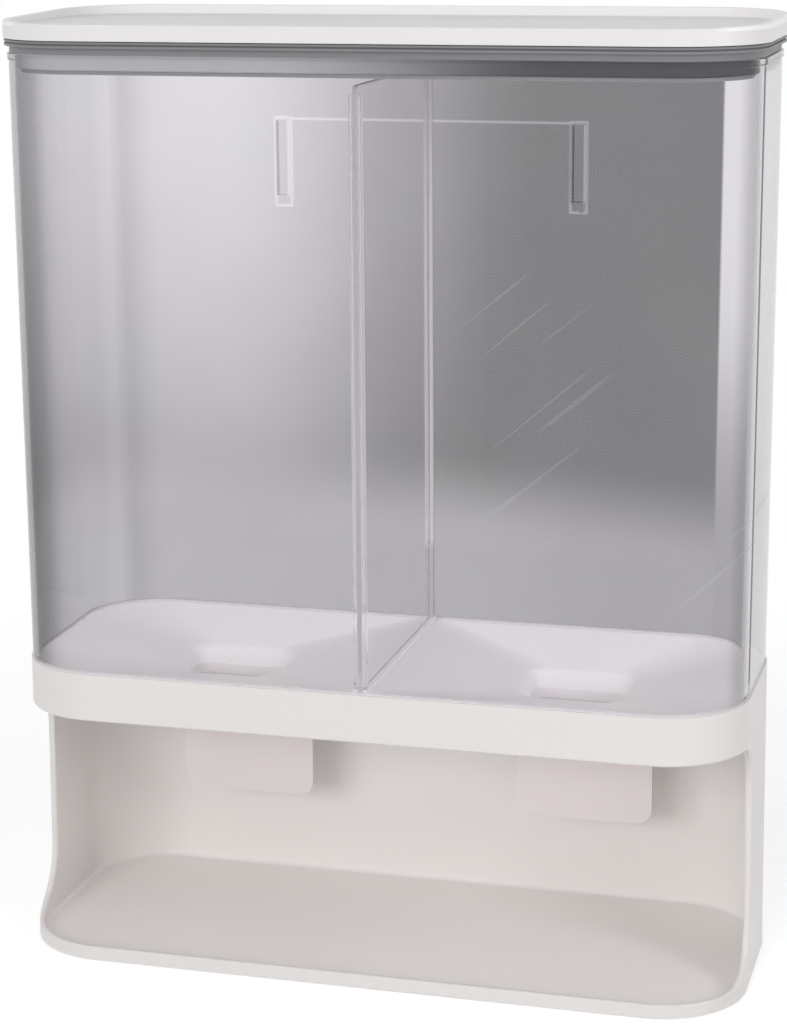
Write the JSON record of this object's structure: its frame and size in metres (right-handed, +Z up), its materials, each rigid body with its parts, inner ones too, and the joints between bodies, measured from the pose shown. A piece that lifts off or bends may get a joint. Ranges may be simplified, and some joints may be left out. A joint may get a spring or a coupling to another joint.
{
  "type": "grain dispenser",
  "caption": "Wall-mounted grain dispenser: a clear divided hopper with a sealed lift-off lid on a white base whose sprung push paddles drop grain into an open cup bay.",
  "frame": {"origin": "middle of the outline seen from above, on the surface that the feet stand on", "axes": "+Z up, +X to the right seen from the front, +Y to the wall, so the front faces -Y"},
  "size_m": [0.333, 0.1306, 0.4243],
  "materials": {
    "housing_white": "satin",
    "lid_white": "satin",
    "liner_white": "satin",
    "floor_white": "satin",
    "chute_white": "satin",
    "lever_white": "satin",
    "clear_shell": "clear, polished",
    "clear_plate": "clear, polished",
    "seal_grey": "soft, matt",
    "gasket_grey": "soft, matt",
    "pad_grey": "soft, matt",
    "foot_grey": "soft, matt",
    "pin_steel": "plain drawn wire and bar",
    "spring_steel": "plain drawn wire and bar",
    "screw_steel": "plain drawn wire and bar"
  },
  "bodies": {
    "housing": {"base_housing": "housing_white", "anti_slip_feet": "foot_grey", "hopper_floor": "floor_white", "floor_screws": "screw_steel", "container_gasket": "gasket_grey", "container": "clear_shell", "divider": "clear_plate", "outlet_chute_left": "chute_white", "hinge_pin_left": "pin_steel", "return_spring_left": "spring_steel", "chute_screws_left": "screw_steel", "outlet_chute_right": "chute_white", "hinge_pin_right": "pin_steel", "return_spring_right": "spring_steel", "chute_screws_right": "screw_steel"},
    "lid": {"lid_cover": "lid_white", "lid_liner": "liner_white", "lid_seal": "seal_grey"},
    "lever_left": {"dispensing_lever_left": "lever_white", "gate_pad_left": "pad_grey"},
    "lever_right": {"dispensing_lever_right": "lever_white", "gate_pad_right": "pad_grey"}
  },
  "joints": [
    {"name": "lid_lift", "type": "slide", "parent": "housing", "child": "lid", "axis": [0, 0, 1], "range_m": [0, 0.07]},
    {"name": "lever_left_rock", "type": "hinge", "parent": "housing", "child": "lever_left", "pos_m": [-0.08175, 0.03475, 0.1069], "axis": [1, 0, 0], "range_deg": [0, 33], "stiffness_Nm_per_rad": 0.08, "springref_deg": -34.38, "deforming": ["return_spring_left"]},
    {"name": "lever_right_rock", "type": "hinge", "parent": "housing", "child": "lever_right", "pos_m": [0.08175, 0.03475, 0.1069], "axis": [1, 0, 0], "range_deg": [0, 33], "stiffness_Nm_per_rad": 0.08, "springref_deg": -34.38, "deforming": ["return_spring_right"]}
  ]
}
